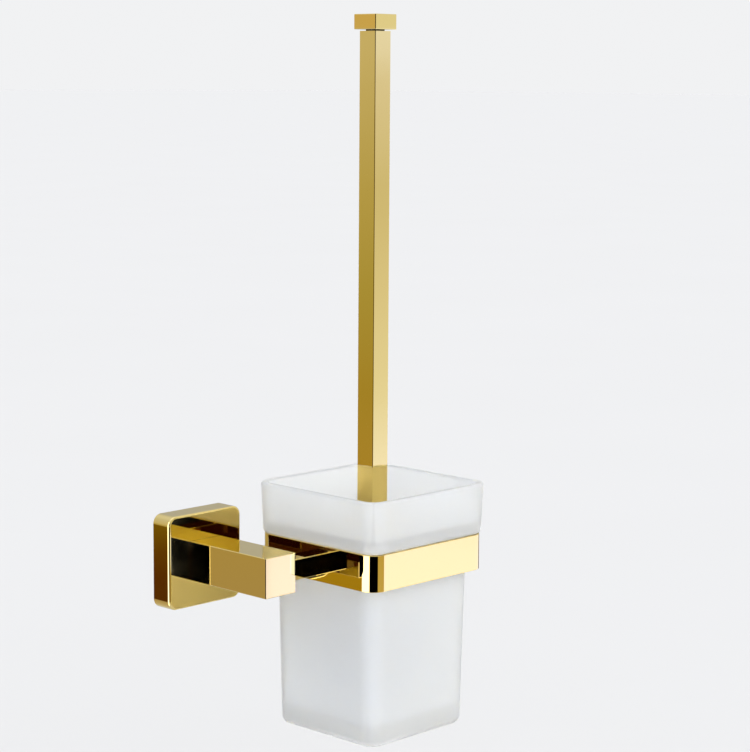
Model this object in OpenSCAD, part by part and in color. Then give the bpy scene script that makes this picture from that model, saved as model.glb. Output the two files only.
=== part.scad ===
// Wall-mounted toilet brush holder.
// A square flange and arm carry a square ring, a frosted glass cup hangs in the ring by its collar, and a
// brush with a square handle stands in the cup.
// Millimetres. The origin is on the wall at the flange's centre, +X runs along the wall towards the cup,
// -Y stands out from the wall and +Z is up.

/* [Wall flange] */
// Side of the square flange cover
flange_w = 50; // [48:0.5:60]
// Depth of the flange cover, from the wall to its face
flange_t = 12.7; // [11.5:0.1:16]
// Radius of the cover's four corners
flange_corner_r = 5; // [4:0.1:7]
// Rounding of the cover's front edge
flange_edge_r = 1.2; // [0.4:0.1:1.8]
// Thickness of the cover's side walls
flange_wall = 3.5; // [3:0.1:3.9]
// Thickness of the cover's face
flange_face = 3.3; // [2.5:0.1:3.5]

/* [Wall bracket] */
// Width of the steel bracket inside the flange cover
bracket_w = 34; // [28:0.5:37]
// Thickness of the bracket's steel
bracket_t = 2.5; // [1.5:0.1:2.8]
// How far the bracket's two lips stand out from the wall
lip_d = 7; // [6.5:0.1:7.6]
// Distance between the two wall screw holes
wall_hole_spacing = 26; // [24:0.5:28]
// Diameter of the wall screw holes
wall_hole_d = 5.2; // [4:0.1:6]
// Gap between the bracket's lips and the flange cover
bracket_fit = 0.2; // [0.1:0.05:0.4]

/* [Arm] */
// Side of the square arm
arm_w = 21.1; // [19:0.1:28]
// Distance from the wall to the arm's end face
arm_l = 70.9; // [60:0.1:110]
// Bevel along the edges of the polished bars
bar_bevel = 0.3; // [0.1:0.05:0.6]

/* [Link bar] */
// Side of the square link bar
link_w = 11; // [9.5:0.1:14]
// Visible length of the link bar, from the arm to the ring
link_l = 23.1; // [19:0.1:50]
// Distance from the arm's end face to the link bar's centreline
link_inset = 10.1; // [8.5:0.05:16]
// Depth of the square sockets that hold the link bar's ends
socket_d = 0.8; // [0.5:0.05:1]
// Gap around the link bar's ends in their sockets
socket_fit = 0.05; // [0.02:0.01:0.1]

/* [Ring] */
// Outer side of the square ring
ring_w = 86.4; // [80:0.1:100]
// Height of the ring
ring_h = 19.4; // [15.5:0.1:28]
// Wall thickness of the ring
ring_wall = 3; // [2.8:0.1:3.5]
// Outer radius of the ring's corners
ring_corner_r = 8; // [6:0.1:10]
// Rounding of the ring's top and bottom edges
ring_edge_r = 0.3; // [0.2:0.05:1]

/* [Glass cup] */
// Gap on each side between the cup's body and the ring
cup_clearance = 1.1; // [0.5:0.05:3]
// Gap between the collar and the ring that it rests on
seat_gap = 0.3; // [0.2:0.05:0.5]
// How far the collar's lower edge stands out past the ring on each side
collar_overhang = 0.7; // [0.3:0.05:2]
// How far the collar widens on each side towards the rim
collar_flare = 1.05; // [0:0.05:3]
// Height of the collar above its seat on the ring
collar_h = 27.5; // [18:0.5:40]
// Rounding of the collar's lower edge
collar_edge_r = 2.4; // [2:0.1:4]
// Radius of the collar's upright corners
collar_corner_r = 8.5; // [7.5:0.1:12]
// Thickness of the glass between the collar's lower edge and the ledge inside it
collar_floor = 5.2; // [4:0.1:8]
// Depth of the cup's body below its collar
body_h = 105.5; // [95:0.5:115]
// How far the body narrows on each side towards the base
body_taper = 2.5; // [0.5:0.1:4]
// Radius of the body's upright corners at the base
body_corner_r = 8.5; // [7.5:0.1:10]
// Rounding of the cup's base edge
base_edge_r = 4; // [2:0.1:6]
// Thickness of the glass walls
glass_wall = 4.2; // [3.5:0.1:4.8]
// Thickness of the glass base
glass_base = 9; // [6:0.1:14]
// Rounding of the edge around the cup's floor
floor_edge_r = 3.4; // [1:0.1:3.5]
// Rounding of the rim's edges
rim_edge_r = 1.2; // [0.6:0.1:1.6]

/* [Handle] */
// Side of the square handle tube
handle_w = 11.6; // [10:0.1:13]
// Wall thickness of the handle tube
tube_wall = 1.2; // [0.8:0.05:1.4]
// Length of the handle tube
tube_l = 283.6; // [200:0.1:360]
// Side of the square cap on the handle
cap_w = 15.8; // [13.5:0.1:20]
// Height of the cap
cap_h = 7.9; // [6.5:0.1:12]
// Thickness of the washer between the tube and the cap
cap_washer_t = 0.8; // [0.5:0.1:1.5]
// How far that washer stays inside the tube's flat sides
cap_washer_inset = 0.9; // [0.3:0.1:1.1]
// Length of the threaded plugs in the tube's ends
insert_l = 16; // [12:0.5:30]
// Gap between the threaded plugs and the tube
insert_fit = 0.05; // [0.02:0.01:0.15]

/* [Brush head] */
// Gap between the side tufts and the glass at the cup's base
brush_clearance = 3; // [1:0.1:6]
// How much shorter the end tufts reach than the side tufts
end_tuft_step = 1.5; // [0:0.1:4]
// Gap between the brush and the cup's floor
floor_gap = 0.3; // [0.2:0.1:2]
// Radius of the plastic core
core_r = 13; // [12:0.1:14]
// Length of the core's straight drum
drum_h = 37; // [30:0.5:50]
// Height of the core's sloping shoulder
shoulder_h = 6; // [4:0.5:10]
// Height of the core's neck
neck_h = 8; // [6:0.5:12]
// Radius of the core's neck
neck_r = 7.9; // [7:0.1:9]
// Height of the lowest row of side tufts above the foot of the drum
low_row_up = 2; // [1.7:0.1:4]
// Depth of the highest row of side tufts below the top of the drum
high_row_down = 5; // [2:0.1:8]
// Rows of side tufts
tuft_rows = 5; // [3:1:5]
// Side tufts in a row
tufts_per_row = 12; // [8:1:14]
// Radius of a tuft at its root
tuft_root_r = 1.5; // [1.2:0.05:1.6]
// Radius of a tuft at its tip
tuft_tip_r = 2.4; // [1.8:0.05:2.8]
// Depth of the holes that hold the tufts
tuft_hole_d = 3; // [2:0.1:4]

/* [Arm fasteners] */
// Diameter of the arm's screw
arm_screw_d = 6; // [5:0.5:7]
// Diameter of that screw's button head
arm_head_d = 10.5; // [9:0.1:11]
// Height of that screw's button head
arm_head_h = 3; // [2.5:0.1:3.3]
// Size of that screw's hex key
arm_key = 4; // [2.5:0.5:5]
// How far the arm's screw reaches into the arm
arm_screw_reach = 12; // [8:0.5:20]
// Diameter of the washer under that screw
washer_d = 11.4; // [11:0.1:13]
// Thickness of that washer
washer_t = 1.2; // [0.8:0.1:1.4]
// Diameter of the arm's locating pin
pin_d = 3; // [2:0.1:3.5]
// How far the locating pin reaches into the arm
pin_reach = 5; // [3:0.5:10]
// Distance from the arm's lower side to the locating pin's centreline
pin_inset = 3.55; // [3.3:0.05:4.2]

/* [Other fasteners] */
// Diameter of the flange's set screw
set_screw_d = 4; // [3:0.5:4.5]
// Size of the set screw's hex key
set_screw_key = 2; // [1.5:0.5:2]
// Depth of the set screw's end below the cover's lower side
set_screw_recess = 0.3; // [0:0.1:0.8]
// Diameter of the link bar's threaded stud
link_stud_d = 5; // [4:0.5:6]
// How far the stud reaches into the arm and into the link bar
link_stud_reach = 7; // [5:0.5:7.5]
// Diameter of the ring's countersunk screw
ring_screw_d = 4; // [3:0.5:4]
// Diameter of that screw's head
ring_head_d = 7.4; // [6.5:0.1:7.6]
// Size of that screw's hex key
ring_key = 2.5; // [1.5:0.5:2.5]
// How far the ring's screw reaches into the link bar
ring_screw_reach = 8; // [5:0.5:9]
// Diameter of the cap's threaded stud
cap_stud_d = 5; // [4:0.5:6]
// How far the cap's stud reaches into the cap
cap_stud_reach = 4.5; // [3:0.5:5]
// Diameter of the brush head's threaded stud
head_stud_d = 6; // [5:0.5:7]
// How far the threaded studs reach into the handle's plugs
handle_stud_reach = 10; // [6:0.5:11]
// How far the brush head's stud is moulded into its core
head_stud_depth = 16; // [10:0.5:20]
// Depth of the hex sockets
key_depth = 1.8; // [1:0.1:2]
// Radial gap between a screw, pin or stud and its hole
thread_gap = 0.05; // [0.02:0.01:0.1]
// Space left past the end of a screw or stud in a blind hole
blind_gap = 1; // [0.5:0.1:1.5]

/* [Hidden] */

// Roundness of the turned parts, of the hulled glass corners and of the tufts
$fn = 64;
glass_fn = 48;
tuft_fn = 16;
// Overshoot of the cutting shapes past the faces that they open
over = 1;

// Flange cover and bracket
cavity_w = flange_w - 2 * flange_wall;
cavity_d = flange_t - flange_face;
bracket_h = cavity_w - 2 * bracket_fit;
set_screw_y = -(bracket_t + lip_d) / 2;

// Arm, link bar and ring
arm_side_x = arm_w / 2;
pin_z = pin_inset - arm_w / 2;
ring_left_x = arm_side_x + link_l;
link_y = link_inset - arm_l;
cup_x = ring_left_x + ring_w / 2;
cup_y = link_y;
ring_inner_w = ring_w - 2 * ring_wall;
ring_head_h = (ring_head_d - ring_screw_d) / 2;

// Glass cup, outside
seat_z = ring_h / 2 + seat_gap;
rim_z = seat_z + collar_h;
base_z = seat_z - body_h;
floor_z = base_z + glass_base;
collar_low_w = ring_w + 2 * collar_overhang;
cup_rim_w = collar_low_w + 2 * collar_flare;
body_top_w = ring_inner_w - 2 * cup_clearance;
base_w = body_top_w - 2 * body_taper;

// Glass cup, inside
inner_floor_w = base_w + 2 * body_taper * glass_base / body_h - 2 * glass_wall;
inner_top_w = body_top_w - 2 * glass_wall;
inner_collar_w = collar_low_w - 2 * glass_wall;
inner_rim_w = cup_rim_w - 2 * glass_wall;

// Brush
brush_r = inner_floor_w / 2 - brush_clearance;
brush_end_r = brush_r - end_tuft_step;
dome_z = floor_z + floor_gap + brush_end_r;
shoulder_z = dome_z + drum_h;
neck_z = shoulder_z + shoulder_h;
tube_z = neck_z + neck_h;
tube_top_z = tube_z + tube_l;
cap_z = tube_top_z + cap_washer_t;
cap_washer_d = handle_w - 2 * cap_washer_inset;
tube_inner_w = handle_w - 2 * tube_wall;
insert_w = tube_inner_w - 2 * insert_fit;
row_pitch = (drum_h - low_row_up - high_row_down) / (tuft_rows - 1);
tuft_root_z = core_r - tuft_hole_d;

// End tufts: how many stand in each ring, and the ring's angle from straight down
end_ring_counts = [1, 6, 10, 12];
end_ring_angles = [0, 25, 50, 72];

// ---- shapes that repeat ----

// Outline of a square with round corners
module round_square(w, r) {
    square([w, w - 2 * r], center = true);
    square([w - 2 * r, w], center = true);
    for (x = [-1, 1], y = [-1, 1])
        translate([x * (w / 2 - r), y * (w / 2 - r)]) circle(r);
}

// Outline of a rectangle with bevelled corners, from the origin
module bevelled_rect(a, b, c) {
    polygon([[c, 0], [a - c, 0], [a, c], [a, b - c], [a - c, b], [c, b], [0, b - c], [0, c]]);
}

// Bar with all its edges bevelled, from the origin
module bevelled_bar(x, y, z, c) {
    intersection() {
        linear_extrude(z) bevelled_rect(x, y, c);
        translate([0, y, 0]) rotate([90, 0, 0]) linear_extrude(y) bevelled_rect(x, z, c);
        rotate([90, 0, 90]) linear_extrude(x) bevelled_rect(y, z, c);
    }
}

// Upright square bar on the Z axis with its long edges bevelled
module square_prism(w, h) {
    translate([-w / 2, -w / 2, 0]) linear_extrude(h) bevelled_rect(w, w, bar_bevel);
}

// Flat washer with a loose hole for a screw or stud
module flat_washer(t, d, shank_d) {
    difference() {
        cylinder(h = t, d = d);
        translate([0, 0, -over]) cylinder(h = t + 2 * over, d = shank_d + 4 * thread_gap);
    }
}

// Half section of a block's edge, with its low and high corners rounded
module edge_section(r, h, low_r, high_r) {
    translate([0, low_r]) square([r, h - low_r - high_r]);
    square([r - max(low_r, high_r), h]);
    if (low_r > 0) translate([r - low_r, low_r]) circle(low_r);
    if (high_r > 0) translate([r - high_r, h - high_r]) circle(high_r);
}

// Square block with round upright corners of radius r and rounded low and high edges
module soft_block(w, h, r, low_r, high_r) {
    core = w - 2 * r;
    translate([-core / 2, -core / 2, 0]) cube([core, core, h]);
    for (turn = [0:90:270]) rotate(turn) translate([core / 2, core / 2, 0]) {
        rotate([90, 0, 0]) linear_extrude(core) edge_section(r, h, low_r, high_r);
        rotate_extrude(angle = 90) edge_section(r, h, low_r, high_r);
    }
}

// Turned corner of the glass, from radius r at its foot to r_top, with rounded low and high edges
module glass_post(r, r_top, h, low_r, high_r) {
    low = [for (a = [0:15:90]) [r - low_r + low_r * sin(a), low_r - low_r * cos(a)]];
    high = [for (a = [0:15:90]) [r_top - high_r + high_r * cos(a), h - high_r + high_r * sin(a)]];
    rotate_extrude($fn = glass_fn) polygon(concat([[0, 0]], low_r > 0 ? low : [[r, 0]],
                                                  high_r > 0 ? high : [[r_top, h]], [[0, h]]));
}

// Square glass block: four posts, each set in from the foot's width, hulled
module glass_block(foot_w, top_w, h, r, low_r, high_r) {
    set_in = foot_w / 2 - r;
    hull() for (x = [-1, 1], y = [-1, 1])
        translate([x * set_in, y * set_in, 0]) glass_post(r, r + (top_w - foot_w) / 2, h, low_r, high_r);
}

// Socket for a hex key, opening at z = 0 and running down
module hex_socket(across) {
    translate([0, 0, -key_depth]) cylinder(h = key_depth + over, r = across / sqrt(3), $fn = 6);
}

// Places what lies on the arm's axis: its own z runs from the wall outwards
module on_arm_axis(out) {
    translate([0, -out, 0]) rotate([90, 0, 0]) children();
}

// Places what lies on the locating pin's axis, below the arm's axis
module on_pin_axis(out) {
    translate([0, 0, pin_z]) on_arm_axis(out) children();
}

// Places what lies on the link bar's axis: its own z runs from the arm to the ring
module on_link_axis(x) {
    translate([x, link_y, 0]) rotate([0, 90, 0]) children();
}

// Places what stands on the cup's upright axis
module at_cup(z) {
    translate([cup_x, cup_y, z]) children();
}

// ---- wall side ----

module wall_bracket() color("silver") {
    difference() {
        union() {
            translate([-bracket_w / 2, -bracket_t, -bracket_h / 2]) cube([bracket_w, bracket_t, bracket_h]);
            for (z = [-bracket_h / 2, bracket_h / 2 - bracket_t])
                translate([-bracket_w / 2, -lip_d, z]) cube([bracket_w, lip_d, bracket_t]);
        }
        for (z = [-1, 1]) translate([0, 0, z * wall_hole_spacing / 2])
            on_arm_axis(-over) cylinder(h = bracket_t + 2 * over, d = wall_hole_d);
    }
}

module flange_cover() color("gold") {
    difference() {
        on_arm_axis(0) soft_block(flange_w, flange_t, flange_corner_r, 0, flange_edge_r);
        on_arm_axis(-over) linear_extrude(cavity_d + over)
            round_square(cavity_w, flange_corner_r - flange_wall);
        on_arm_axis(cavity_d - over) cylinder(h = flange_face + 2 * over, d = arm_screw_d + 2 * thread_gap);
        on_pin_axis(cavity_d - over) cylinder(h = flange_face + 2 * over, d = pin_d + 2 * thread_gap);
        translate([0, set_screw_y, -flange_w / 2 - over])
            cylinder(h = flange_wall + 2 * over, d = set_screw_d + 2 * thread_gap);
    }
}

module flange_set_screw() color("silver") {
    foot_z = set_screw_recess - flange_w / 2;
    translate([0, set_screw_y, foot_z]) difference() {
        cylinder(h = -bracket_h / 2 - foot_z, d = set_screw_d);
        mirror([0, 0, 1]) hex_socket(set_screw_key);
    }
}

// ---- arm and link bar ----

// Square socket that takes an end of the link bar
module link_socket(x, depth) {
    side = link_w + 2 * socket_fit;
    translate([x, link_y - side / 2, -side / 2]) cube([depth, side, side]);
}

module arm() color("gold") {
    difference() {
        translate([-arm_w / 2, -arm_l, -arm_w / 2]) bevelled_bar(arm_w, arm_l - flange_t, arm_w, bar_bevel);
        on_arm_axis(flange_t - over)
            cylinder(h = over + arm_screw_reach + blind_gap, d = arm_screw_d + 2 * thread_gap);
        on_pin_axis(flange_t - over) cylinder(h = over + pin_reach + blind_gap, d = pin_d + 2 * thread_gap);
        link_socket(arm_side_x - socket_d, socket_d + over);
        on_link_axis(arm_side_x - socket_d - link_stud_reach - blind_gap)
            cylinder(h = link_stud_reach + blind_gap + over, d = link_stud_d + 2 * thread_gap);
    }
}

module arm_screw() color("silver") {
    head_out = cavity_d - washer_t;
    difference() {
        union() {
            on_arm_axis(head_out) cylinder(h = washer_t + flange_face + arm_screw_reach, d = arm_screw_d);
            on_arm_axis(head_out - arm_head_h)
                cylinder(h = arm_head_h, d1 = arm_head_d - arm_head_h / 2, d2 = arm_head_d);
        }
        on_arm_axis(head_out - arm_head_h) mirror([0, 0, 1]) hex_socket(arm_key);
    }
}

module arm_washer() color("silver") {
    on_arm_axis(cavity_d - washer_t) flat_washer(washer_t, washer_d, arm_screw_d);
}

module arm_locating_pin() color("silver") {
    on_pin_axis(cavity_d) cylinder(h = flange_face + pin_reach, d = pin_d);
}

module link_bar() color("gold") {
    difference() {
        on_link_axis(arm_side_x - socket_d) square_prism(link_w, link_l + 2 * socket_d);
        on_link_axis(arm_side_x - socket_d - over)
            cylinder(h = over + link_stud_reach + blind_gap, d = link_stud_d + 2 * thread_gap);
        on_link_axis(ring_left_x + socket_d - ring_screw_reach - blind_gap)
            cylinder(h = ring_screw_reach + blind_gap + over, d = ring_screw_d + 2 * thread_gap);
    }
}

module link_stud() color("silver") {
    on_link_axis(arm_side_x - socket_d - link_stud_reach) cylinder(h = 2 * link_stud_reach, d = link_stud_d);
}

// ---- ring ----

module holder_ring() color("gold") {
    difference() {
        at_cup(-ring_h / 2) difference() {
            soft_block(ring_w, ring_h, ring_corner_r, ring_edge_r, ring_edge_r);
            translate([0, 0, -over]) linear_extrude(ring_h + 2 * over)
                round_square(ring_inner_w, ring_corner_r - ring_wall);
        }
        link_socket(ring_left_x - over, socket_d + over);
        on_link_axis(ring_left_x) cylinder(h = ring_wall + over, d = ring_screw_d + 2 * thread_gap);
        on_link_axis(ring_left_x + ring_wall - ring_head_h)
            cylinder(h = ring_head_h, d1 = ring_screw_d + 2 * thread_gap, d2 = ring_head_d + 2 * thread_gap);
    }
}

module ring_screw() color("silver") {
    head_x = ring_left_x + ring_wall - ring_head_h;
    tip_x = ring_left_x + socket_d - ring_screw_reach;
    difference() {
        union() {
            on_link_axis(tip_x) cylinder(h = head_x - tip_x, d = ring_screw_d);
            on_link_axis(head_x) cylinder(h = ring_head_h, d1 = ring_screw_d, d2 = ring_head_d);
        }
        on_link_axis(ring_left_x + ring_wall) hex_socket(ring_key);
    }
}

// ---- glass cup ----

module glass_cup() color("white", 0.7) {
    ledge_z = seat_z + collar_floor;
    at_cup(0) difference() {
        union() {
            translate([0, 0, base_z])
                glass_block(base_w, body_top_w, body_h + over, body_corner_r, base_edge_r, 0);
            translate([0, 0, seat_z])
                glass_block(collar_low_w, cup_rim_w, collar_h, collar_corner_r, collar_edge_r, rim_edge_r);
        }
        translate([0, 0, floor_z])
            glass_block(inner_floor_w, inner_top_w, ledge_z - floor_z + over, body_corner_r - glass_wall,
                        floor_edge_r, 0);
        translate([0, 0, ledge_z])
            glass_block(inner_collar_w, inner_rim_w, rim_z - ledge_z + over, collar_corner_r - glass_wall,
                        collar_edge_r, 0);
        translate([0, 0, rim_z - rim_edge_r])
            glass_block(inner_rim_w, inner_rim_w + 2 * rim_edge_r, rim_edge_r, collar_corner_r - glass_wall,
                        0, 0);
    }
}

// ---- handle ----

module handle_tube() color("gold") {
    at_cup(tube_z) difference() {
        square_prism(handle_w, tube_l);
        translate([-tube_inner_w / 2, -tube_inner_w / 2, -over])
            cube([tube_inner_w, tube_inner_w, tube_l + 2 * over]);
    }
}

module handle_cap() color("gold") {
    at_cup(cap_z) difference() {
        translate([-cap_w / 2, -cap_w / 2, 0]) bevelled_bar(cap_w, cap_w, cap_h, bar_bevel);
        translate([0, 0, -over])
            cylinder(h = over + cap_stud_reach + blind_gap, d = cap_stud_d + 2 * thread_gap);
    }
}

// Square plug with a blind threaded hole that opens at its top
module threaded_insert(stud_d) {
    difference() {
        square_prism(insert_w, insert_l);
        translate([0, 0, insert_l - handle_stud_reach - blind_gap])
            cylinder(h = handle_stud_reach + blind_gap + over, d = stud_d + 2 * thread_gap);
    }
}

module cap_washer() color("dimgray") {
    at_cup(tube_top_z) flat_washer(cap_washer_t, cap_washer_d, cap_stud_d);
}

module cap_insert() color("goldenrod") {
    at_cup(tube_top_z - insert_l) threaded_insert(cap_stud_d);
}

module cap_stud() color("silver") {
    at_cup(tube_top_z - handle_stud_reach)
        cylinder(h = handle_stud_reach + cap_washer_t + cap_stud_reach, d = cap_stud_d);
}

module head_insert() color("goldenrod") {
    at_cup(tube_z + insert_l) mirror([0, 0, 1]) threaded_insert(head_stud_d);
}

module head_stud() color("silver") {
    at_cup(tube_z - head_stud_depth) cylinder(h = head_stud_depth + handle_stud_reach, d = head_stud_d);
}

// ---- brush head ----

// Places what lies on a tuft's line, which leaves the core's axis at tilt degrees from straight down
module on_tuft_line(z, tilt, turn) {
    at_cup(z) rotate([0, 180 - tilt, turn]) children();
}

module each_side_tuft() {
    for (row = [0:tuft_rows - 1], k = [0:tufts_per_row - 1])
        on_tuft_line(dome_z + low_row_up + row * row_pitch, 90, (k + (row % 2) / 2) * 360 / tufts_per_row)
            children();
}

module each_end_tuft() {
    for (ring = [0:len(end_ring_counts) - 1], k = [0:end_ring_counts[ring] - 1])
        on_tuft_line(dome_z, end_ring_angles[ring], (k + 0.5) * 360 / end_ring_counts[ring]) children();
}

// Tuft that widens from its root in the core to its tip
module tuft(reach) {
    translate([0, 0, tuft_root_z])
        cylinder(h = reach - tuft_root_z, r1 = tuft_root_r, r2 = tuft_tip_r, $fn = tuft_fn);
}

// Hole in the core for a tuft, as wide as the widest tuft is at the core's surface
module tuft_hole() {
    widening = (tuft_tip_r - tuft_root_r) * tuft_hole_d / (brush_end_r - tuft_root_z);
    translate([0, 0, tuft_root_z])
        cylinder(h = tuft_hole_d + over, r = tuft_root_r + widening + thread_gap, $fn = tuft_fn);
}

module brush_core() color("whitesmoke") {
    difference() {
        at_cup(0) {
            translate([0, 0, dome_z]) sphere(core_r);
            translate([0, 0, dome_z]) cylinder(h = drum_h, r = core_r);
            translate([0, 0, shoulder_z]) cylinder(h = shoulder_h, r1 = core_r, r2 = neck_r);
            translate([0, 0, neck_z]) cylinder(h = neck_h, r = neck_r);
        }
        at_cup(tube_z - head_stud_depth - blind_gap)
            cylinder(h = head_stud_depth + blind_gap + over, d = head_stud_d + 2 * thread_gap);
        each_side_tuft() tuft_hole();
        each_end_tuft() tuft_hole();
    }
}

module side_tufts() color("white") {
    each_side_tuft() tuft(brush_r);
}

module end_tufts() color("white") {
    each_end_tuft() tuft(brush_end_r);
}

wall_bracket();
flange_cover();
flange_set_screw();
arm();
arm_screw();
arm_washer();
arm_locating_pin();
link_bar();
link_stud();
holder_ring();
ring_screw();
glass_cup();
handle_tube();
handle_cap();
cap_washer();
cap_insert();
cap_stud();
head_insert();
head_stud();
brush_core();
side_tufts();
end_tufts();
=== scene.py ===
"""Looks of the wall-mounted toilet brush holder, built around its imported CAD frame.

Lengths are in metres, in the CAD frame: the origin is on the wall at the flange's centre, +X runs along
the wall towards the cup, -Y stands out from the wall and +Z is up.
"""

import math

import bpy
import numpy as np
from mathutils import Matrix, Vector


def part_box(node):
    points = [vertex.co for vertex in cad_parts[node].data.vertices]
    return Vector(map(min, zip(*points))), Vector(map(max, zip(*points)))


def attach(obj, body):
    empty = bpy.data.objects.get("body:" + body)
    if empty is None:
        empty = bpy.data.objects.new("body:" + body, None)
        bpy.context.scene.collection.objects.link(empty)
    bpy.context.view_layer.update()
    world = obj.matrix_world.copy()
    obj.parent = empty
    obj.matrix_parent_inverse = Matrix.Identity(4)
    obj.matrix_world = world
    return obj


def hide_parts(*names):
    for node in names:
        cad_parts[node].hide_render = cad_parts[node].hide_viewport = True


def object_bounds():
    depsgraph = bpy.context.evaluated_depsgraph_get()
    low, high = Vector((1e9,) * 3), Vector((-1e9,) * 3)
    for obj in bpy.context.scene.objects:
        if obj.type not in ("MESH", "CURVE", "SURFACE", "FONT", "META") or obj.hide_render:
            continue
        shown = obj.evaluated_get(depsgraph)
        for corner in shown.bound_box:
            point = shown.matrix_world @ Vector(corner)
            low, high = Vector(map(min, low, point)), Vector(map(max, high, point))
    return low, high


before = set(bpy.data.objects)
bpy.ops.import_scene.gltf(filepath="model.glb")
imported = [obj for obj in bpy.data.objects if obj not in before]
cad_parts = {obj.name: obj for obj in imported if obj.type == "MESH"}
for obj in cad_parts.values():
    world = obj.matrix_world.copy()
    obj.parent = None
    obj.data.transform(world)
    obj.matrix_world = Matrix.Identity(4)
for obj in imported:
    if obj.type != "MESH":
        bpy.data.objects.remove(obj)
cad_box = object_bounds()
MM = 0.001
QUARTER_TURN = math.pi / 2
scene = bpy.context.scene


# ---- camera ----

CAMERA_AT = Vector((-0.72928, -0.84757, 0.25191))
CAMERA_YAW = -45.75  # degrees about +Z; 0 looks along +Y
CAMERA_DOWN = 7.94  # degrees below the horizon
CAMERA_ROLL = 0.376  # degrees
CAMERA_LENS = 102.07  # mm
CAMERA_SENSOR = 36  # mm across
CAMERA_NEAR, CAMERA_FAR = 0.01, 100

yaw, down = math.radians(CAMERA_YAW), math.radians(CAMERA_DOWN)
back = Vector((math.sin(yaw) * math.cos(down), -math.cos(yaw) * math.cos(down), math.sin(down)))
side = (-back).cross(Vector((0, 0, 1))).normalized()
turn = Matrix((side, side.cross(-back), back)).transposed()
turn = turn @ Matrix.Rotation(math.radians(CAMERA_ROLL), 3, "Z")
camera = bpy.data.objects.new("camera", bpy.data.cameras.new("camera"))
camera.data.lens = CAMERA_LENS
camera.data.sensor_width = CAMERA_SENSOR
camera.data.clip_start = CAMERA_NEAR
camera.data.clip_end = CAMERA_FAR
camera.matrix_world = Matrix.Translation(CAMERA_AT) @ turn.to_4x4()
scene.collection.objects.link(camera)
scene.camera = camera
scene.view_settings.view_transform = "Standard"

# Light crosses the frosted glass and the white bristles many times
MOST_CROSSINGS, MOST_REFLECTIONS = 40, 20
scene.cycles.max_bounces = scene.cycles.transmission_bounces = MOST_CROSSINGS
scene.cycles.diffuse_bounces = scene.cycles.glossy_bounces = MOST_REFLECTIONS


# ---- node trees ----


class Nodes:
    """Short names for making a node tree. A value is a number, a tuple or another node's output."""

    def __init__(self, tree):
        self.tree = tree
        tree.nodes.clear()

    def put(self, kind, settings=None, **inputs):
        """A new node. An input is given by its name, with _ for a space, or as i and its number."""
        node = self.tree.nodes.new("ShaderNode" + kind)
        for key, value in (settings or {}).items():
            setattr(node, key, value)
        for key, value in inputs.items():
            socket = node.inputs[int(key[1:])] if key[1:].isdigit() else node.inputs[key.replace("_", " ")]
            if isinstance(value, bpy.types.NodeSocket):
                self.tree.links.new(value, socket)
            else:
                socket.default_value = value
        return node

    def math(self, operation, *values):
        inputs = {f"i{place}": value for place, value in enumerate(values)}
        return self.put("Math", {"operation": operation}, **inputs).outputs[0]

    def between(self, value, low, high, out_low=0.0, out_high=1.0):
        """value's way from low to high, eased at both ends."""
        node = self.put("MapRange", {"interpolation_type": "SMOOTHSTEP"}, i0=value, i1=low, i2=high,
                        i3=out_low, i4=out_high)
        return node.outputs[0]

    def mix(self, share, first, second):
        return self.put("Mix", {"data_type": "RGBA"}, i0=share, i6=first, i7=second).outputs[2]

    def ramp(self, share, *stops):
        """Colours along share. A stop is (place, colour), and a colour may be a single grey."""
        node = self.put("ValToRGB", i0=share)
        elements = node.color_ramp.elements
        while len(elements) < len(stops):
            elements.new(0.5)
        for element, (place, colour) in zip(elements, stops):
            element.position = place
        for element, (place, colour) in zip(elements, stops):
            element.color = rgba(colour)
        return node.outputs[0]

    def noise(self, at, scale, detail=2.0, roughness=0.5):
        return self.put("TexNoise", Vector=at, Scale=scale, Detail=detail, Roughness=roughness).outputs[0]

    def stretched(self, at, x, y, z):
        return self.put("Mapping", Vector=at, Scale=(x, y, z)).outputs[0]


def rgba(colour):
    if isinstance(colour, (int, float)):
        colour = (colour,) * 3
    return (*colour, 1.0)


# ---- studio ----

ALL_HEIGHTS = 180  # degrees from straight down to straight up
TOWARDS_KEY = (0.18, -0.97, -0.15)
KEY_STRENGTH, FILL_STRENGTH, BEHIND_GLASS = 1.35, 1.07, 3.1
DARK_AFTER_TWO = 0.9


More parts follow.
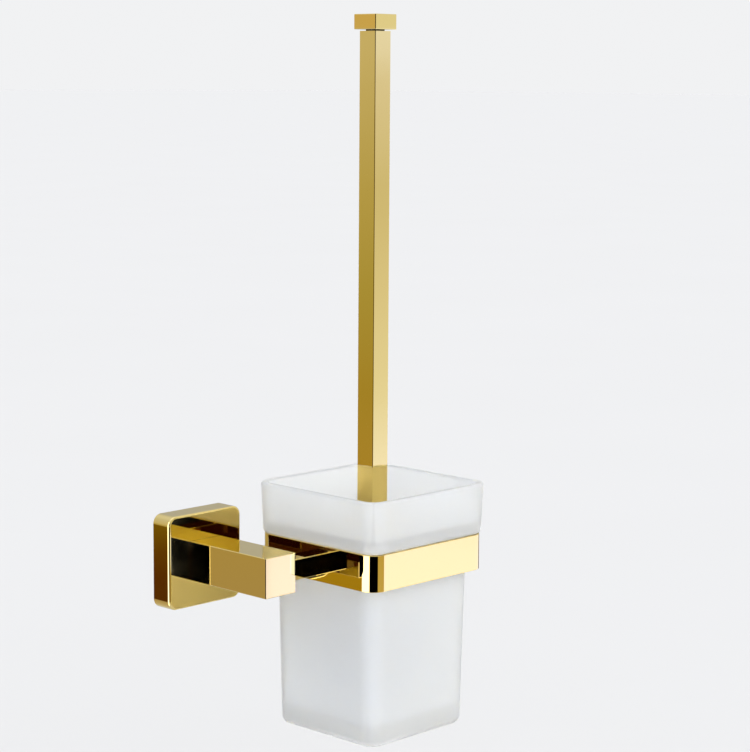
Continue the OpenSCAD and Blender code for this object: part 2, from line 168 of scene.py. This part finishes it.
def studio():
    """Soft light from all round. The polished metal sees panels instead, placed for the photograph's view.

    It isn't physical: what a ray meets depends on its kind and on how many mirrors it has met. Angles are
    in degrees. Azimuth 0 is straight out from the wall and 90 is +X.
    """
    world = bpy.data.worlds.new("studio")
    world.use_nodes = True
    scene.world = world
    nodes = Nodes(world.node_tree)
    way = nodes.put("TexCoord").outputs["Generated"]
    axes = nodes.put("SeparateXYZ", i0=way).outputs
    azimuth = nodes.math("DEGREES", nodes.math("ARCTAN2", axes[0], nodes.math("MULTIPLY", axes[1], -1.0)))
    elevation = nodes.math("DEGREES", nodes.math("ARCSINE", axes[2]))
    height = nodes.math("MULTIPLY_ADD", elevation, 1 / ALL_HEIGHTS, 0.5)
    path = nodes.put("LightPath").outputs
    mirrors = path["Glossy Depth"]

    def by_height(*stops):
        """Colours by elevation."""
        return nodes.ramp(height, *[(0.5 + degrees / ALL_HEIGHTS, colour) for degrees, colour in stops])

    def panel(colour, on, azimuth_span, azimuth_edge, elevation_span, elevation_edge):
        """on, with a panel over it that has soft edges."""
        shares = []
        for value, (low, high), edge in ((azimuth, azimuth_span, azimuth_edge),
                                         (elevation, elevation_span, elevation_edge)):
            off = nodes.math("SUBTRACT", value, (low + high) / 2)
            if value is azimuth:
                off = nodes.math("WRAP", off, 180.0, -180.0)
            half = (high - low) / 2
            shares.append(nodes.between(nodes.math("ABSOLUTE", off), half + edge / 2, half - edge / 2))
        return nodes.mix(nodes.math("MULTIPLY", *shares), on, colour)

    def after(count):
        """1 where more than count mirrors lie between the camera and the light, else 0."""
        more = nodes.math("MAXIMUM", nodes.math("SUBTRACT", mirrors, count), 0.0)
        return nodes.math("MINIMUM", more, 1.0)

    once, twice, thrice = after(0.0), after(1.0), after(2.0)

    # The large panels
    room = by_height((-90, 0.55), (-40, 0.62), (-22, 0.50), (0, 0.40), (25, 0.50), (50, 0.80), (90, 1.10))
    wall = by_height((-40, (0.50, 0.42, 0.30)), (-14, (0.39, 0.30, 0.155)), (-10, (0.42, 0.32, 0.11)),
                     (-3, (0.47, 0.40, 0.18)), (2, (0.57, 0.50, 0.34)), (30, (0.60, 0.58, 0.52)))
    olive = by_height((-40, (0.45, 0.36, 0.16)), (-16, (0.36, 0.24, 0.03)), (-13.2, (0.358, 0.229, 0.012)),
                      (-10.3, (0.40, 0.28, 0.06)), (-8.4, (0.373, 0.275, 0.052)),
                      (-5.7, (0.40, 0.335, 0.095)), (-3, (0.465, 0.395, 0.165)), (1, (0.58, 0.52, 0.36)),
                      (30, (0.60, 0.58, 0.52)))
    amber = by_height((-30, 0.80), (-18, (0.62, 0.52, 0.32)), (-12, (0.52, 0.38, 0.10)),
                      (-6, (0.72, 0.66, 0.52)), (4, (0.72, 0.68, 0.50)), (9, (0.50, 0.46, 0.12)),
                      (14, (0.46, 0.41, 0.09)), (20, (0.70, 0.66, 0.45)))
    key = by_height((-40, (1.0, 1.02, 1.1)), (-20, (1.25, 1.3, 1.6)), (-12.5, (1.2, 1.15, 1.58)),
                    (-10.3, (0.93, 0.95, 1.2)), (-8.4, (0.81, 0.81, 0.83)), (-5.7, (0.72, 0.69, 0.62)),
                    (-3, (0.63, 0.59, 0.46)), (0, (0.72, 0.70, 0.74)), (1, (0.815, 0.84, 1.07)), (30, 1.0))
    blue_key = by_height((-40, (1.0, 1.02, 1.1)), (-20, (1.2, 1.2, 1.75)), (-13, (1.15, 1.12, 1.85)),
                         (-9, (0.81, 0.81, 0.85)), (30, 1.0))
    seen = panel(wall, room, (-188, -136.5), 1.5, (-45, 35), 20)
    seen = panel(olive, seen, (-136.5, -131), 1.5, (-45, 35), 20)
    seen = panel(rgba(2.4), seen, (-131.5, -72), 2.5, (-50, 40), 20)
    seen = panel(amber, seen, (-12, 42.6), 1, (-35, 24), 12)
    seen = panel(key, seen, (44.6, 98), 1.2, (-50, 35), 24)
    seen = panel(blue_key, seen, (42.6, 44.6), 0.8, (-17, -9), 4)
    seen = panel(key, seen, (42.6, 44.6), 0.6, (-10.5, 35), 3)

    # Dark flags, which the metal shows as black faces and as the dark of its second reflections
    black, umber = rgba(0.0), rgba((0.04, 0.012, 0.0))
    bronze = by_height((-14.6, (0.085, 0.030, 0.001)), (-12.9, (0.092, 0.028, 0.001)),
                       (-12.1, (0.163, 0.094, 0.003)), (-11.4, (0.19, 0.115, 0.004)))
    seen = panel(black, seen, (-72, -8), 3, (-14.4, -10.6), 1)
    seen = panel(black, seen, (-72, -8), 3, (0, 14.5), 1.2)
    seen = panel(rgba((0.10, 0.07, 0.02)), seen, (-51, -41), 1.5, (-11, 1), 1)
    seen = panel(umber, seen, (100, 128), 2, (-16, -10), 2)
    seen = panel(umber, seen, (135.8, 142), 1, (-14.6, -9.5), 1)
    seen = panel(bronze, seen, (-152, -139.4), 0.8, (-18, -5), 6)

    # Two strips just above the horizon, which the handle cap's faces show
    seen = panel(rgba((0.589, 0.445, 0.197)), seen, (-136.5, -131), 1.5, (1.3, 9), 0.15)
    seen = panel(rgba((0.753, 0.748, 0.69)), seen, (44.6, 50), 1.2, (1.3, 9), 0.15)

    # Second reflections meet two more lamps and a flag, and later ones fade to a dark red
    lamp = rgba((1.15, 1.5, 4.5))
    lit = panel(lamp, seen, (-39.5, 41), 1.5, (-14.8, -11), 1)
    lit = panel(lamp, lit, (-150, -130), 2, (15, 25), 2)
    lit = panel(umber, lit, (129, 142), 1.5, (-15, -9.5), 1)
    seen = nodes.mix(twice, seen, lit)
    seen = nodes.mix(nodes.math("MULTIPLY", thrice, DARK_AFTER_TWO), seen, rgba((0.012, 0.002, 0.0)))
    mirror = nodes.put("Background", Color=seen, Strength=1.0)

    # The other pieces have a daylight that is cooler from -X, and warm and quiet where the metal shows them
    daylight = nodes.mix(nodes.between(axes[0], -0.9, 0.5), rgba((0.965, 1.04, 1.18)),
                         rgba((0.975, 0.99, 1.005)))
    daylight = nodes.mix(once, daylight, rgba((0.73, 0.67, 0.48)))
    daylight = nodes.mix(twice, daylight, rgba((0.57, 0.47, 0.10)))
    daylight = nodes.mix(thrice, daylight, rgba((0.045, 0.010, 0.002)))
    facing_key = nodes.put("VectorMath", {"operation": "DOT_PRODUCT"}, i0=way, i1=TOWARDS_KEY)
    facing_key = nodes.math("MAXIMUM", facing_key.outputs["Value"], 0.0)
    strength = nodes.math("MULTIPLY_ADD", facing_key, KEY_STRENGTH, FILL_STRENGTH)
    soft_light = nodes.put("Background", Color=daylight, Strength=strength)
    behind_glass = nodes.put("Background", Color=daylight, Strength=BEHIND_GLASS)
    backdrop = nodes.put("Background", Color=rgba((0.880, 0.885, 0.895)), Strength=1.0)

    out = soft_light
    for ray, light in (("Is Glossy Ray", mirror), ("Is Transmission Ray", behind_glass),
                       ("Is Camera Ray", backdrop)):
        out = nodes.put("MixShader", i0=path[ray], i1=out.outputs[0], i2=light.outputs[0])
    nodes.put("OutputWorld", Surface=out.outputs[0])


studio()


# ---- the cup's sizes ----

cup_low, cup_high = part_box("glass_cup")
CUP_X, CUP_Y = (cup_low.x + cup_high.x) / 2, (cup_low.y + cup_high.y) / 2
RIM_W = cup_high.x - cup_low.x
# How much of the CAD collar's gap above the ring is closed, because the real collar rests on the ring
SEAT_DROP = 0.25 * MM
COLLAR_H = 27.5 * MM
COLLAR_FLARE = 1.05 * MM
COLLAR_CORNER_R = 8.5 * MM
COLLAR_EDGE_R = 2.4 * MM
COLLAR_FLOOR = 5.2 * MM
RIM_EDGE_R = 1.2 * MM
BODY_H = 105.5 * MM
BODY_TOP_W = 78.2 * MM
BODY_TAPER = 2.5 * MM
BODY_CORNER_R = 8.5 * MM
BASE_EDGE_R = 4 * MM
BASE_T = 9 * MM
WALL = 4.2 * MM
FLOOR_EDGE_R = 3.4 * MM
# Points of the small fillets, in mm outwards and upwards from the corner that each one eases
SEAT_FILLET = ((0, -0.6), (0.2, -0.15), (0.6, 0))
LEDGE_FILLET = ((0.8, 0), (0.25, -0.25))
LEDGE_EDGE = 0.8 * MM  # how far below the ledge its fillet ends


# ---- materials ----

GLASS_SPREAD = 6 * MM  # how far light spreads, at a scale of 1
PLASTIC_SPREAD = 2 * MM  # at the shader's own scale
NOISE_LOW, NOISE_HIGH = 0.3, 0.7  # most of a noise's values lie between them
BODY_CLEAR, COLLAR_CLEARER = 0.595, 0.045
COLLAR_BLEND = 4 * MM
# Where painted shade darkens the collar's inner walls: its blend across the wall, and the heights above the
# collar's seat where it starts and where it is full
INNER_SHADE_BLEND = 0.5 * MM
INNER_SHADE_FROM, INNER_SHADE_FULL = 3.5 * MM, 6.5 * MM  # above the collar's seat


def material(name, **fixed):
    """A new material: its nodes, its Principled shader and a place on the piece in metres."""
    made = bpy.data.materials.new(name)
    made.use_nodes = True
    nodes = Nodes(made.node_tree)
    shader = nodes.put("BsdfPrincipled")
    for key, value in fixed.items():
        shader.inputs[key.replace("_", " ")].default_value = value
    nodes.put("OutputMaterial", Surface=shader.outputs[0])
    return made, nodes, shader, nodes.put("TexCoord").outputs["Object"]


def link(nodes, value, shader, socket):
    nodes.tree.links.new(value, shader.inputs[socket])


def colour_by(nodes, share, shader, low, high):
    link(nodes, nodes.mix(share, rgba(low), rgba(high)), shader, "Base Color")


def roughness_by(nodes, share, shader, low, high):
    link(nodes, nodes.between(share, NOISE_LOW, NOISE_HIGH, low, high), shader, "Roughness")


def bump(nodes, shader, height, distance, strength):
    made = nodes.put("Bump", Height=height, Distance=distance, Strength=strength)
    link(nodes, made.outputs[0], shader, "Normal")


def polished_gold():
    made, nodes, shader, at = material("polished_gold", Metallic=1.0)
    haze = nodes.noise(at, 38, 3, 0.6)
    smudge = nodes.between(nodes.noise(at, 120, 4, 0.7), 0.55, 0.75)
    rough = nodes.between(haze, NOISE_LOW, NOISE_HIGH, 0.018, 0.034)
    link(nodes, nodes.math("ADD", rough, nodes.math("MULTIPLY", smudge, 0.02)), shader, "Roughness")
    colour_by(nodes, haze, shader, (0.965, 0.785, 0.335), (0.975, 0.800, 0.350))
    bump(nodes, shader, nodes.noise(at, 55, 1), 0.00002, 0.5)
    return made


def bare_metal(name, low, high, rough, grain):
    """Patches of two colours, with fine lines across +Z."""
    made, nodes, shader, at = material(name, Metallic=1.0)
    patches = nodes.noise(at, grain, 4, 0.65)
    lines = nodes.noise(nodes.stretched(at, 40, 40, 1400), 1.0)
    colour_by(nodes, patches, shader, low, high)
    roughness = nodes.between(patches, NOISE_LOW, NOISE_HIGH, rough - 0.06, rough + 0.08)
    link(nodes, nodes.math("ADD", roughness, nodes.math("MULTIPLY", lines, 0.06)), shader, "Roughness")
    bump(nodes, shader, lines, 0.00002, 0.6)
    return made


def white_plastic():
    made, nodes, shader, at = material("white_plastic", IOR=1.49, Subsurface_Weight=0.25)
    shader.inputs["Subsurface Radius"].default_value = (PLASTIC_SPREAD,) * 3
    tone = nodes.noise(at, 60, 3)
    colour_by(nodes, tone, shader, (0.68, 0.68, 0.675), (0.74, 0.74, 0.73))
    roughness_by(nodes, tone, shader, 0.30, 0.42)
    bump(nodes, shader, nodes.noise(at, 1800), 0.00003, 0.5)
    return made


def white_nylon():
    made, nodes, shader, at = material("white_nylon", IOR=1.53)
    tone = nodes.noise(at, 700)
    colour_by(nodes, tone, shader, (0.88, 0.89, 0.935), (0.935, 0.945, 0.985))
    roughness_by(nodes, tone, shader, 0.28, 0.45)
    return made


def black_nylon():
    made, nodes, shader, at = material("black_nylon", IOR=1.53)
    tone = nodes.noise(at, 400)
    colour_by(nodes, tone, shader, 0.010, 0.022)
    roughness_by(nodes, tone, shader, 0.45, 0.6)
    bump(nodes, shader, nodes.noise(at, 2500), 0.00002, 0.5)
    return made


def frosted_glass():
    """Clearer in the collar than in the body. The collar's colour is a greyer white than the body's, and its
    inner walls are greyer still: painted shade.
    """
    made, nodes, shader, at = material("frosted_glass", IOR=1.5, Subsurface_Weight=1.0)
    shader.inputs["Subsurface Radius"].default_value = (GLASS_SPREAD,) * 3
    shader.inputs["Subsurface Scale"].default_value = 1.0
    cloud = nodes.noise(at, 25, 3, 0.6)
    x, y, z = nodes.put("SeparateXYZ", i0=at).outputs
    off_x, off_y = (nodes.math("ABSOLUTE", nodes.math("SUBTRACT", value, middle))
                    for value, middle in ((x, CUP_X), (y, CUP_Y)))
    off_axis = nodes.math("MAXIMUM", off_x, off_y)
    above_seat = nodes.math("SUBTRACT", z, cup_high.z - COLLAR_H)
    in_collar = nodes.between(above_seat, -COLLAR_BLEND, COLLAR_BLEND)
    mid_wall = RIM_W / 2 - COLLAR_FLARE / 2 - WALL / 2
    # 1 on the collar's inner walls, where painted shade darkens the glass
    painted_inner_shade = nodes.math("MULTIPLY", nodes.between(off_axis, mid_wall + INNER_SHADE_BLEND, mid_wall - INNER_SHADE_BLEND),
                        nodes.between(above_seat, INNER_SHADE_FROM, INNER_SHADE_FULL))
    body = nodes.mix(cloud, rgba((0.978, 0.988, 0.998)), rgba((0.988, 0.996, 1.0)))
    # Painted shade: the collar is a greyer white than the body, which evens out the extra light the open
    # collar catches, and its inner walls are greyer still
    collar = nodes.mix(cloud, rgba((0.950, 0.961, 0.975)), rgba((0.960, 0.970, 0.984)))
    collar = nodes.mix(painted_inner_shade, collar, rgba((0.845, 0.853, 0.866)))
    link(nodes, nodes.mix(in_collar, body, collar), shader, "Base Color")
    clear = nodes.math("MULTIPLY_ADD", in_collar, COLLAR_CLEARER, BODY_CLEAR)
    link(nodes, clear, shader, "Transmission Weight")
    roughness_by(nodes, cloud, shader, 0.48, 0.56)
    bump(nodes, shader, nodes.noise(at, 2600), 0.00002, 0.4)
    return made


finish = {
    "polished_gold": polished_gold(),
    "zinc_steel": bare_metal("zinc_steel", (0.50, 0.51, 0.53), (0.66, 0.67, 0.69), 0.36, 260),
    "stainless": bare_metal("stainless", (0.58, 0.57, 0.55), (0.66, 0.65, 0.63), 0.24, 120),
    "plain_brass": bare_metal("plain_brass", (0.74, 0.55, 0.26), (0.82, 0.64, 0.34), 0.28, 120),
    "white_plastic": white_plastic(),
    "white_nylon": white_nylon(),
    "black_nylon": black_nylon(),
    "frosted_glass": frosted_glass(),
}
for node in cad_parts.values():
    for held in node.material_slots:
        held.material = finish[held.material.name.split(".")[0]]


# ---- pieces ----


def piece(name, points, faces, slot, body, replaced):
    mesh = bpy.data.meshes.new(name)
    mesh.from_pydata([tuple(point) for point in points], [], faces)
    mesh.materials.append(finish[slot])
    mesh.shade_smooth()
    mesh.validate()
    made = bpy.data.objects.new(name, mesh)
    scene.collection.objects.link(made)
    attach(made, body)
    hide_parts(*replaced)


# ---- glass cup ----

CORNER_STEPS, SIDE_STEPS = 14, 10
EDGE_STEPS = 8
BODY_STEPS, COLLAR_STEPS = 16, 6
UNDERSIDE_SHARES = (0.1, 0.4, 0.7, 0.92)
FLOOR_SHARES = (0.9, 0.7, 0.4, 0.1)


def outline(set_in, radius, z):
    """Points round a square with round corners, whose corners turn about points set_in from its middle."""
    corner = [Vector((set_in + radius * math.cos(angle), set_in + radius * math.sin(angle)))
              for angle in np.linspace(0, QUARTER_TURN, CORNER_STEPS + 1)]
    start, end = Vector((set_in + radius, -set_in)), corner[0]
    run = [start.lerp(end, step / SIDE_STEPS) for step in range(1, SIDE_STEPS)]
    points = []
    for quarter in range(4):
        spin = Matrix.Rotation(quarter * QUARTER_TURN, 2)
        for point in run + corner:
            point = spin @ point
            points.append((CUP_X + point.x, CUP_Y + point.y, z))
    return points


def glass_cup():
    rim_z, base_z = cup_high.z, cup_low.z
    seat_z, floor_z = rim_z - COLLAR_H - SEAT_DROP, base_z + BASE_T
    ledge_z = seat_z + COLLAR_FLOOR
    collar_in = RIM_W / 2 - COLLAR_FLARE - COLLAR_CORNER_R
    body_in = BODY_TOP_W / 2 - BODY_TAPER - BODY_CORNER_R
    turns = [(math.sin(angle), math.cos(angle)) for angle in np.linspace(0, QUARTER_TURN, EDGE_STEPS + 1)]
    rings = []

    def ring(set_in, radius, z):
        rings.append(outline(set_in, radius, z))

    def wall(set_in, low, high, steps):
        """Rings between low and high, which are (radius, z)."""
        for step in range(1, steps):
            share = step / steps
            ring(set_in, low[0] + (high[0] - low[0]) * share, low[1] + (high[1] - low[1]) * share)

    # Underside and body
    for share in UNDERSIDE_SHARES:
        ring(body_in * share, (BODY_CORNER_R - BASE_EDGE_R) * share, base_z)
    for sine, cosine in turns:
        ring(body_in, BODY_CORNER_R - BASE_EDGE_R * (1 - sine), base_z + BASE_EDGE_R * (1 - cosine))
    body_top_r = BODY_CORNER_R + BODY_TAPER
    wall(body_in, (BODY_CORNER_R, base_z + BASE_EDGE_R), (body_top_r, seat_z), BODY_STEPS)
    for out, up in SEAT_FILLET:
        ring(body_in, body_top_r + out * MM, seat_z + up * MM)
    # Collar
    for sine, cosine in turns:
        ring(collar_in, COLLAR_CORNER_R - COLLAR_EDGE_R * (1 - sine), seat_z + COLLAR_EDGE_R * (1 - cosine))
    rim_r = COLLAR_CORNER_R + COLLAR_FLARE
    wall(collar_in, (COLLAR_CORNER_R, seat_z + COLLAR_EDGE_R), (rim_r, rim_z - RIM_EDGE_R), COLLAR_STEPS)
    for sine, cosine in turns:
        ring(collar_in, rim_r - RIM_EDGE_R * (1 - cosine), rim_z - RIM_EDGE_R * (1 - sine))
    # Inside the collar
    inner_rim_r, inner_low_r = rim_r - WALL, COLLAR_CORNER_R - WALL
    for sine, cosine in turns:
        ring(collar_in, inner_rim_r + RIM_EDGE_R * (1 - sine), rim_z - RIM_EDGE_R * (1 - cosine))
    wall(collar_in, (inner_rim_r, rim_z - RIM_EDGE_R), (inner_low_r, ledge_z + COLLAR_EDGE_R), COLLAR_STEPS)
    for sine, cosine in turns:
        ring(collar_in, inner_low_r - COLLAR_EDGE_R * (1 - cosine), ledge_z + COLLAR_EDGE_R * (1 - sine))
    # Ledge, inside of the body and floor
    inner_floor_r = BODY_CORNER_R + BODY_TAPER / BODY_H * BASE_T - WALL
    inner_top_r = body_top_r - WALL
    for out, up in LEDGE_FILLET:
        ring(body_in, inner_top_r + out * MM, ledge_z + up * MM)
    wall(body_in, (inner_top_r, ledge_z - LEDGE_EDGE), (inner_floor_r, floor_z + FLOOR_EDGE_R), BODY_STEPS)
    for sine, cosine in turns:
        ring(body_in, inner_floor_r - FLOOR_EDGE_R * (1 - cosine), floor_z + FLOOR_EDGE_R * (1 - sine))
    for share in FLOOR_SHARES:
        ring(body_in * share, (inner_floor_r - FLOOR_EDGE_R) * share, floor_z)

    around = len(rings[0])
    last = (len(rings) - 1) * around
    points = [point for made in rings for point in made]
    faces = [[first + place, first + (place + 1) % around, first + around + (place + 1) % around,
              first + around + place] for first in range(0, last, around) for place in range(around)]
    faces.append(list(reversed(range(around))))
    faces.append([last + place for place in range(around)])
    piece("frosted_glass_cup", points, faces, "frosted_glass", "cup", ["glass_cup"])


glass_cup()


# ---- bristles ----

core_low, core_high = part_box("brush_core")
BRUSH_X, BRUSH_Y = (core_low.x + core_high.x) / 2, (core_low.y + core_high.y) / 2
CORE_R = (core_high.x - core_low.x) / 2
DOME_Z = core_low.z + CORE_R
TUFT_ROOT_R, TUFT_TIP_R = 1.5 * MM, 2.4 * MM
TUFT_HOLE = 3 * MM
ROW_UP, ROW_PITCH = 2 * MM, 7.5 * MM
SIDE_ROWS, TUFTS_A_ROW = 5, 12
SIDE_REACH, END_REACH = 29.6 * MM, 28.1 * MM
END_RINGS = ((1, 0), (6, 25), (10, 50), (12, 72))  # how many, and the angle from straight down

FIBRES = 30
FIBRE_R = 0.19 * MM
FIBRE_SIDES = 5
FIBRE_STATIONS = np.array([0, 0.3, 0.6, 0.85, 0.985, 1.0])
FIBRE_WIDTHS = np.array([1, 1, 1, 1, 1, 0.55])
FIBRE_LEAN, FIBRE_TRIM = 0.16 * MM, 0.35 * MM
FIBRE_STRAY = 0.12  # radians
GOLDEN_ANGLE = 2.39996
NEARLY_UPRIGHT = 0.9
SEED = 11
draws = np.random.default_rng(SEED)


def tuft(foot, way, reach, points, faces):
    """Adds one tuft of separate fibres, rooted in the core along way from foot."""
    way = Vector(way).normalized()
    across = way.cross(Vector((0, 0, 1)) if abs(way.z) < NEARLY_UPRIGHT else Vector((1, 0, 0))).normalized()
    other = way.cross(across)
    foot, way, across, other = (np.array(vector) for vector in (foot, way, across, other))
    root = CORE_R - TUFT_HOLE
    spin = draws.uniform(0, 2 * math.pi)
    around = np.arange(FIBRE_SIDES) * 2 * math.pi / FIBRE_SIDES
    for fibre in range(FIBRES):
        place = math.sqrt((fibre + 0.5) / FIBRES)
        angle = spin + fibre * GOLDEN_ANGLE + draws.normal(0, FIBRE_STRAY)
        lean = draws.normal(0, FIBRE_LEAN, 2)
        length = reach - root - abs(draws.normal(0, FIBRE_TRIM))
        first = len(points)
        for share, width in zip(FIBRE_STATIONS, FIBRE_WIDTHS):
            room = TUFT_ROOT_R + (TUFT_TIP_R - TUFT_ROOT_R) * share - FIBRE_R
            x = room * place * math.cos(angle) + lean[0] * share ** 2
            y = room * place * math.sin(angle) + lean[1] * share ** 2
            far = math.hypot(x, y)
            if far > room:
                x, y = x * room / far, y * room / far
            centre = foot + way * (root + length * share) + across * x + other * y
            for turned in around:
                out = across * math.cos(turned) + other * math.sin(turned)
                points.append(centre + FIBRE_R * width * out)
        last = len(points) - FIBRE_SIDES
        for low in range(first, last, FIBRE_SIDES):
            high = low + FIBRE_SIDES
            for here in range(FIBRE_SIDES):
                beside = (here + 1) % FIBRE_SIDES
                faces.append([low + here, low + beside, high + beside, high + here])
        faces.append([last + here for here in range(FIBRE_SIDES)])
        faces.append([first + here for here in reversed(range(FIBRE_SIDES))])


def bristles():
    points, faces = [], []
    for row in range(SIDE_ROWS):
        foot = (BRUSH_X, BRUSH_Y, DOME_Z + ROW_UP + row * ROW_PITCH)
        for place in range(TUFTS_A_ROW):
            turned = math.radians((place + (row % 2) / 2) * 360 / TUFTS_A_ROW)
            tuft(foot, (math.cos(turned), math.sin(turned), 0), SIDE_REACH, points, faces)
    piece("side_bristles", points, faces, "white_nylon", "brush", ["side_tufts"])
    points, faces = [], []
    for count, tilt in END_RINGS:
        tip = math.radians(tilt)
        for place in range(count):
            turned = math.radians((place + 0.5) * 360 / count)
            way = (math.sin(tip) * math.cos(turned), math.sin(tip) * math.sin(turned), -math.cos(tip))
            tuft((BRUSH_X, BRUSH_Y, DOME_Z), way, END_REACH, points, faces)
    piece("end_bristles", points, faces, "white_nylon", "brush", ["end_tufts"])


bristles()


# ---- floor ----

FLOOR_REACH = 60.0  # metres each way
FLOOR_DROP = 0.12  # metres below the object, which hangs on a wall


def floor():
    z = cad_box[0].z - FLOOR_DROP
    corners = [(x * FLOOR_REACH, y * FLOOR_REACH, z) for x, y in ((-1, -1), (1, -1), (1, 1), (-1, 1))]
    mesh = bpy.data.meshes.new("floor")
    mesh.from_pydata(corners, [], [(0, 1, 2, 3)])
    made, nodes, shader, at = material("pale_floor", Roughness=0.9)
    shader.inputs["Specular IOR Level"].default_value = 0.0
    colour_by(nodes, nodes.noise(at, 3, 3), shader, (0.690, 0.669, 0.642), (0.702, 0.681, 0.654))
    mesh.materials.append(made)
    ground = bpy.data.objects.new("floor", mesh)
    scene.collection.objects.link(ground)
    ground.visible_glossy = False


floor()
